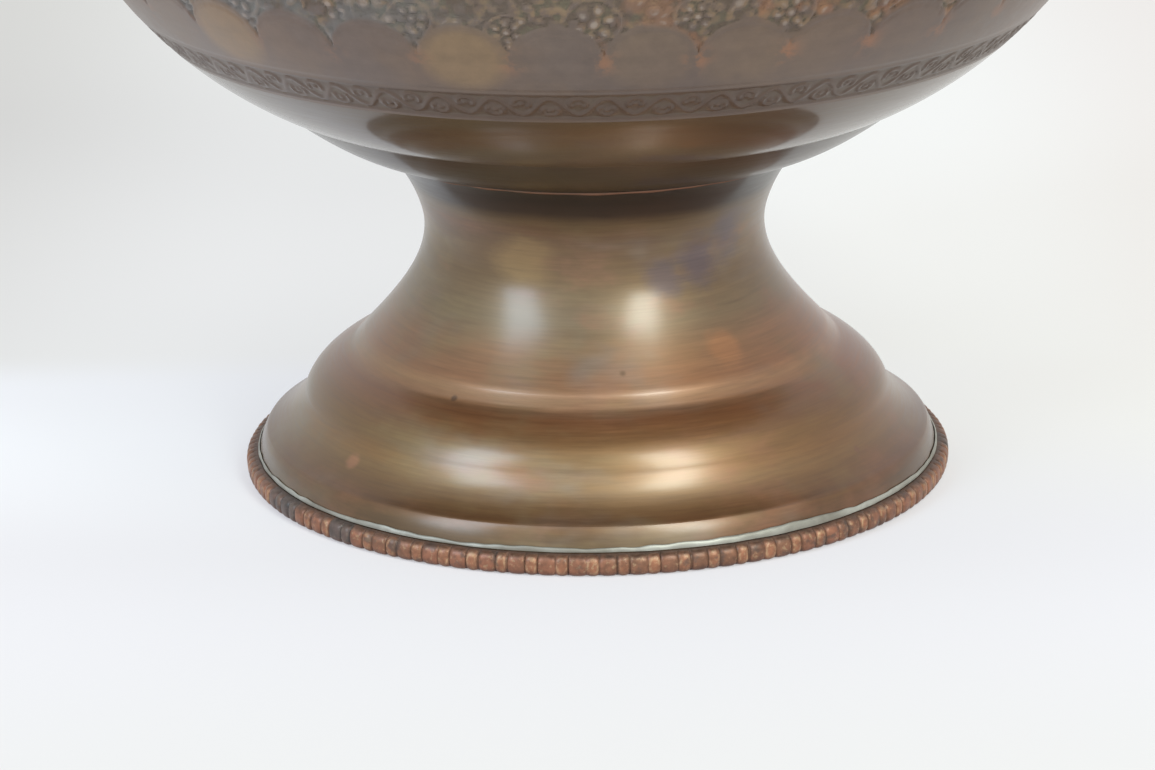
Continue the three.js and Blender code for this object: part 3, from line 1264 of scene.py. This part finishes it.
    def work(self, skin: Skin, outer: np.ndarray, run: np.ndarray) -> np.ndarray:
        """Work out the depth of the chasing and mark the skin for its finish.

        Args:
            skin: The band's vertices.
            outer: Which of them lie on the outer face.
            run: Run of each vertex along the sheet.

        Returns:
            Depth of each vertex below the plain surface.
        """
        wander = wave(21, skin.azimuth * 1.0, 70, 0.25) + 0.2 * np.sin(run * 0.9)
        azimuth = skin.azimuth + wander * 0.4 / 110
        bent = run + 0.35 * np.sin(skin.azimuth * 47 + run * 0.3)
        edge = self.scallop(skin.azimuth)
        beyond = run - edge
        field = np.clip(beyond / 1.1, 0, 1)
        leaves = self.leaves(azimuth, bent)
        number, across = self.lobe(skin.azimuth)
        line = self.cord(beyond + 1.0, 0.5) * (np.abs(across) < 0.4)
        low, high = self.BORDER
        banded = (run > low) & (run < high)
        border = self.border(skin.azimuth, run)
        groove = self.cord(run - high - 0.55, 0.4) + self.cord(run - low + 0.55, 0.4)
        depth = field * (1 - leaves) * self.DEPTH
        depth = np.maximum(depth, 0.15 * line * (field < 0.5))
        depth = np.where(banded, (1 - border) * 0.25, depth + 0.15 * groove)
        ends = np.minimum(run - self.runs[0], self.runs[-1] - run)
        depth = depth * np.clip(ends / 0.8, 0, 1) * outer
        rng = np.random.default_rng(5)
        tint = rng.random(self.LOBES) ** 3 * 0.5
        tint[list(self.YELLOW_LOBES)] = 1.0
        disc = np.clip(1.3 - np.hypot(across * 2.3, (run - 0.5) / 8), 0, 0.5) / 0.5
        cusp = np.exp(-((np.abs(across) - 0.5) / 0.13) ** 2 - ((run - 0.4) / 3.0) ** 2)
        patchy = 0.5 + 0.5 * np.sin(skin.azimuth * 3 + 0.6)
        skin.mark("raised", np.where(outer, 1 - depth / self.DEPTH, 1.0))
        skin.mark("leafy", np.where(outer, field, 0.0))
        skin.mark("worn", np.where(outer, cusp * (0.2 + 0.6 * patchy), 0.0))
        skin.mark("banded", np.where(outer, banded, 0.0))
        skin.mark("yellowed", np.where(outer, tint[number % self.LOBES] * disc, 0.0))
        return depth


@dataclass
class Body(Assembly):
    """Bowl and shoulder, plain next to the cup and neck and chased round the belly."""

    cup: Cup
    belly_radius: float = 116.0
    bowl_rise: float = 55.9
    bowl_seat: float = 3.0
    belly_lap: float = 3.0
    shoulder_rise: float = 55.0
    neck_foot_radius: float = 46.0
    socket_height: float = 5.0
    bowl_chased_from: float = 103.2
    bowl_parted_at: float = 113.5
    bowl_cusps: float = 118.3
    bowl_rows: tuple[float, ...] = (11.0, 24.5)
    shoulder_cusps: float = 45.0
    shoulder_border: float = 20.6
    shoulder_rows: tuple[float, ...] = (10.5, 23.0, 36.5)
    fine_steps: int = 1440
    fine_spacing: float = 0.6
    steps: int = 936
    spacing: float = 0.75

    @property
    def seam(self) -> float:
        """Height of the joint at the belly."""
        return self.cup.rim + CLEARANCE + self.bowl_rise + self.belly_lap

    @property
    def neck_seat(self) -> float:
        """Height at which the neck stands on the shoulder."""
        return self.seam + CLEARANCE + self.shoulder_rise

    def build(self) -> None:
        """Build and dress the bowl and the shoulder."""
        # Patina colours darkened to stand for the shade on the bowl's underside: partly painted shade,
        # shared by the shoulder top and the belly lap.
        plain = SpunBrass(
            "spun_grey_brass_painted_shade", tone(95, 74, 51), tone(97, 78, 45), tone(98, 71, 47),
            tone(88, 76, 66), roughness=(0.34, 0.44), coat=0.8, coat_roughness=0.1,
            ring_contrast=0.3,
        ).build()
        chased = ChasedBrass("chased_grey_brass").build()
        self._bowl(plain, chased)
        self._shoulder(plain, chased)

    def _bowl(self, plain: bpy.types.Material, chased: bpy.types.Material) -> None:
        """Build the bowl, plain below and chased above."""
        seat = self.cup.radius - self.bowl_seat
        profile = Profile(seat, self.cup.rim).line(self.cup.radius, self.cup.rim)
        rise = self.bowl_rise + CLEARANCE
        profile.bend(self.belly_radius - self.cup.radius, rise, Bend(1, 0.36, 0.55), 90)
        profile.line(self.belly_radius, self.seam)
        low = profile.part(profile.points[0].y, self.bowl_chased_from, 1.0)
        piece = new_piece("bowl_foot", turned(low.wall()))
        self.dress(piece, plain, Slot.GREY_BRASS, "lower_bowl")
        whole = profile.part(self.bowl_chased_from, self.seam, self.fine_spacing)
        _, heights, lengths = whole.table()
        cusps = float(np.interp(self.bowl_cusps, heights, lengths))
        chasing = Chasing(whole, cusps, 1, self.bowl_rows)
        border = profile.part(self.bowl_chased_from, self.bowl_parted_at, self.fine_spacing)
        leaves = profile.part(self.bowl_parted_at, self.seam, self.fine_spacing)
        for name, band in (("bowl_border", border), ("bowl_chasing", leaves)):
            self._chased(name, band, chasing, self.fine_steps, chased, "lower_bowl")

    def _shoulder(self, plain: bpy.types.Material, chased: bpy.types.Material) -> None:
        """Build the shoulder, chased below and plain up to the neck."""
        lap = self.belly_radius - SHEET - CLEARANCE
        inside = self.neck_foot_radius - SHEET - CLEARANCE
        start = self.seam + CLEARANCE
        profile = Profile(self.belly_radius, start)
        profile.bend(inside - self.belly_radius, self.shoulder_rise, Bend(0, 0.78, 0.56), 90)
        profile.line(inside, self.neck_seat + self.socket_height)
        _, heights, runs = profile.table()
        top = float(np.interp(self.shoulder_cusps + self.shoulder_border, runs, heights))
        high = profile.part(top, profile.points[-1].y, 1.0)
        piece = new_piece("shoulder_top", turned(high.wall()))
        self.dress(piece, plain, Slot.GREY_BRASS, "shoulder")
        band = profile.part(start, top, self.spacing)
        chasing = Chasing(band, self.shoulder_cusps, -1, self.shoulder_rows)
        self._chased("shoulder_chasing", band, chasing, self.steps, chased, "shoulder")
        tongue = Profile(lap, self.seam - self.belly_lap + CLEARANCE).line(lap, start)
        piece = new_piece("belly_lap", turned(tongue.wall()))
        self.dress(piece, plain, Slot.GREY_BRASS, "shoulder")

    def _chased(
        self, name: str, band: Profile, chasing: Chasing, steps: int,
        material: bpy.types.Material, node: str,
    ) -> None:
        """Spin a band, chase its outer face and dress it.

        Args:
            name: Name of the piece.
            band: Outer line of the band.
            chasing: The pattern.
            steps: Facets round the axis, a multiple of 8.
            material: Finish of the band.
            node: Solid that the band stands for.
        """
        coarse = band.part(band.points[0].y, band.points[-1].y, 9.0)
        bm = turned([*band.points, *reversed(coarse.inner())], steps)
        skin = Skin(bm)
        radii, heights, _ = band.table()
        outer = np.abs(np.interp(skin.height, heights, radii) - skin.radius) < SHEET * 0.2
        outer &= (skin.height > heights[0] - 0.01) & (skin.height < heights[-1] + 0.01)
        depth = chasing.work(skin, outer, chasing.run_at(skin.height))
        lean = np.arctan2(np.gradient(radii), np.gradient(heights))
        tilt = np.interp(skin.height, heights, lean)
        skin.move(skin.radius - depth * np.cos(tilt), skin.height + depth * np.sin(tilt))
        piece = new_piece(name, bm)
        self.dress(piece, material, Slot.GREY_BRASS, node)


@dataclass
class Neck(Assembly):
    """Neck and flared mouth, rolled over a wire, with a collar over the joint."""

    body: Body
    collar_radius: float = 2.2
    waist_radius: float = 35.0
    waist_rise: float = 20.0
    mouth_radius: float = 70.0
    mouth_rise: float = 62.0
    wire_radius: float = 1.5
    flare_angle: float = math.radians(35)
    curl_angle: float = math.radians(265)

    @property
    def wire_centre(self) -> Vector:
        """Centre of the wire's section in the rim."""
        ring = self.mouth_radius - SHEET - CLEARANCE - self.wire_radius
        foot = self.body.neck_seat + CLEARANCE + self.body.socket_height
        return Vector((ring, foot + self.waist_rise + self.mouth_rise))

    def build(self) -> None:
        """Build and dress the neck, its collar and the wire in its rim."""
        finish = SpunBrass(
            "spun_neck_brass", tone(138, 108, 74), tone(130, 108, 70), tone(144, 102, 70),
            tone(126, 110, 94),
        ).build()
        self._neck(finish)
        inside = self.body.neck_foot_radius + CLEARANCE
        middle = self.body.neck_seat + self.collar_radius
        section = Profile(inside, self.body.neck_seat)
        section.arc(Vector((inside, middle)), self.collar_radius, -math.pi / 2, math.pi, 14)
        collar = new_piece("collar_wire", turned(section.points[1:]))
        self.dress(collar, finish, Slot.BROWN_BRASS, "neck_collar")
        centre = self.wire_centre
        section = Profile(centre.x + self.wire_radius, centre.y)
        section.arc(centre, self.wire_radius, 0, 2 * math.pi, 16)
        wire = new_piece("mouth_wire", turned(section.points[1:-1]))
        self.dress(wire, finish, Slot.BROWN_BRASS, "rim_wire")

    def _neck(self, finish: bpy.types.Material) -> None:
        """Spin the neck and roll its edge."""
        body, centre = self.body, self.wire_centre
        roll = self.wire_radius + CLEARANCE
        start = math.pi / 2 + self.flare_angle
        lip = centre + roll * Vector((math.cos(start), math.sin(start)))
        foot = body.neck_seat + CLEARANCE
        profile = Profile(body.neck_foot_radius, foot)
        profile.line(body.neck_foot_radius, foot + body.socket_height)
        profile.bend(self.waist_radius - body.neck_foot_radius, self.waist_rise, Bend(1, 0.42, 0.67), 28)
        width, rise = lip.x - self.waist_radius, lip.y - profile.points[-1].y
        corner = 1 - width * math.tan(self.flare_angle) / rise
        profile.bend(width, rise, Bend(0, corner, 0.62), 48)
        profile.points.pop()
        profile.arc(centre, roll, start, -self.curl_angle, 32)
        piece = new_piece("neck_and_mouth", turned(profile.wall()))
        self.dress(piece, finish, Slot.BROWN_BRASS, "neck")


# Studio


@dataclass
class Studio:
    """Floor, lamps, surroundings and camera of the photograph."""

    picture_width: int = 1155
    focal_pixels: float = 4432.4
    sensor: float = 36.0
    camera_place: tuple[float, float, float] = (0.0, -960.0, 327.56)
    camera_dip: float = math.radians(17.917)
    camera_yaw: float = math.radians(-0.26)
    camera_roll: float = math.radians(-0.87)
    surround: float = 0.78
    fill: float = 0.7
    floor_fades: tuple[float, float] = (650.0, 1800.0)

    def build(self) -> None:
        """Set the whole studio up."""
        self._floor()
        self._world()
        self._lamp("left_softbox", -50.0, 30.0, (0.46, 0.8), 9.0, tone(208, 232, 255))
        self._lamp("right_softbox", 32.0, 35.0, (0.37, 0.8), 11.4, tone(243, 255, 249))
        self._camera()
        bpy.context.scene.view_settings.view_transform = "Standard"

    def _floor(self) -> None:
        """Lay a pale floor that fades into the room, with painted light and shade in its colour: greyer
        far away on the left, darker far in front and a little on the right, brightest around and behind
        the vase.
        """
        bm = bmesh.new()
        bmesh.ops.create_grid(bm, x_segments=1, y_segments=1, size=4000)
        floor = new_piece("floor", bm)
        material, shader = new_material("pale_floor")
        across, back, _ = shader.parts(shader.place())
        # Painted light and shade: the grey far left, the darker far back on the left and the darker far
        # front stand for shade, and the brightest tone near and behind the vase offsets the vase's own
        # shadow.
        corner = shader.mix(across.step(-205, -85), tone(232, 230, 226), tone(249, 248, 246))
        wall = shader.mix(across.step(0, 100), corner, tone(247, 246, 244))
        wall = shader.mix(across.step(100, 190), wall, tone(242, 237, 234))
        wall = shader.shade(wall, 1 - back.step(120, 340) * (1 - across.step(0, 100)) * 0.09)
        rear = shader.mix(across.step(0, 150), tone(250, 250, 252), tone(245, 243, 240))
        front = shader.mix(back.step(-210, -90), tone(229, 226, 224), tone(235, 232, 234))
        front = shader.mix(back.step(-70, 30), front, rear)
        colour = shader.mix(back.step(55, 85), front, wall)
        plain = shader.wire("ShaderNodeBsdfDiffuse", {}, {"Color": colour})
        glow = shader.wire("ShaderNodeEmission", {}, {"Color": colour, "Strength": 1.0})
        white = tone(255, 255, 255)
        room = shader.wire("ShaderNodeEmission", {}, {"Color": white, "Strength": self.surround})
        paths = shader.node("ShaderNodeLightPath")
        direct = Wire(shader, paths.outputs["Is Camera Ray"])
        seen = direct + Wire(shader, paths.outputs["Is Glossy Ray"])
        near = shader.wire("ShaderNodeMixShader", {}, {0: seen * 0.45, 1: plain, 2: glow})
        away = shader.wire("ShaderNodeVectorMath", {"operation": "LENGTH"}, {0: shader.place()}, "Value")
        far = direct * away.step(self.floor_fades[0], self.floor_fades[1])
        shader.node(
            "ShaderNodeOutputMaterial", {},
            {0: shader.wire("ShaderNodeMixShader", {}, {0: far, 1: near, 2: room})},
        )
        floor.data.materials.append(material)

    def _world(self) -> None:
        """Surround the vase with a pale room that lights it plainly."""
        world = bpy.data.worlds.new("pale_room")
        bpy.context.scene.world = world
        world.use_nodes = True
        shader = Shader(world.node_tree)
        paths = shader.node("ShaderNodeLightPath")
        seen = Wire(shader, paths.outputs["Is Camera Ray"])
        seen = seen + Wire(shader, paths.outputs["Is Glossy Ray"])
        seen = seen + Wire(shader, paths.outputs["Is Transmission Ray"])
        white = tone(255, 255, 255)
        fill = shader.wire("ShaderNodeBackground", {}, {"Color": white, "Strength": self.fill})
        room = shader.wire("ShaderNodeBackground", {}, {"Color": white, "Strength": self.surround})
        both = shader.wire("ShaderNodeMixShader", {}, {0: seen, 1: fill, 2: room})
        shader.node("ShaderNodeOutputWorld", {}, {0: both})

    def _lamp(
        self, name: str, azimuth: float, rise: float, size: tuple[float, float],
        power: float, colour: Colour,
    ) -> None:
        """Hang a tall softbox that faces the vase.

        Args:
            name: Name of the lamp.
            azimuth: Degrees round from the front.
            rise: Degrees above the floor.
            size: Width and height in metres.
            power: Watts.
            colour: Colour of its light.
        """
        data = bpy.data.lights.new(name, "AREA")
        data.shape = "RECTANGLE"
        data.size, data.size_y = size
        data.energy = power
        data.color = colour[:3]
        lamp = bpy.data.objects.new(name, data)
        turn, lift = math.radians(azimuth), math.radians(rise)
        away = Vector((
            math.cos(lift) * math.sin(turn), -math.cos(lift) * math.cos(turn), math.sin(lift)
        ))
        lamp.location = away * 1.3 + Vector((0, 0, 0.08))
        lamp.rotation_euler = (-away).to_track_quat("-Z", "Y").to_euler()
        bpy.context.scene.collection.objects.link(lamp)

    def _camera(self) -> None:
        """Stand the camera where the photograph was taken."""
        data = bpy.data.cameras.new("camera")
        data.sensor_width = self.sensor
        data.lens = self.focal_pixels / self.picture_width * self.sensor
        dip, yaw, roll = self.camera_dip, self.camera_yaw, self.camera_roll
        ahead = Vector((
            math.sin(yaw) * math.cos(dip), math.cos(yaw) * math.cos(dip), -math.sin(dip)
        ))
        level = Vector((math.cos(yaw), -math.sin(yaw), 0))
        above = level.cross(ahead)
        right = math.cos(roll) * level + math.sin(roll) * above
        up = math.cos(roll) * above - math.sin(roll) * level
        camera = bpy.data.objects.new("camera", data)
        turn = Matrix((right, up, -ahead)).transposed()
        camera.matrix_world = Matrix.Translation(Vector(self.camera_place) * METRES) @ turn.to_4x4()
        bpy.context.scene.collection.objects.link(camera)
        bpy.context.scene.camera = camera


def main() -> None:
    """Build the vase from the foot upwards, then its studio."""
    logging.basicConfig(level=logging.INFO, format="%(name)s: %(message)s")
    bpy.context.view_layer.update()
    foot = Foot()
    cup = Cup(foot)
    body = Body(cup)
    neck = Neck(body)
    for assembly in (foot, cup, body, neck):
        assembly.build()
    Studio().build()
    bpy.context.view_layer.update()


if __name__ == "__main__":
    main()
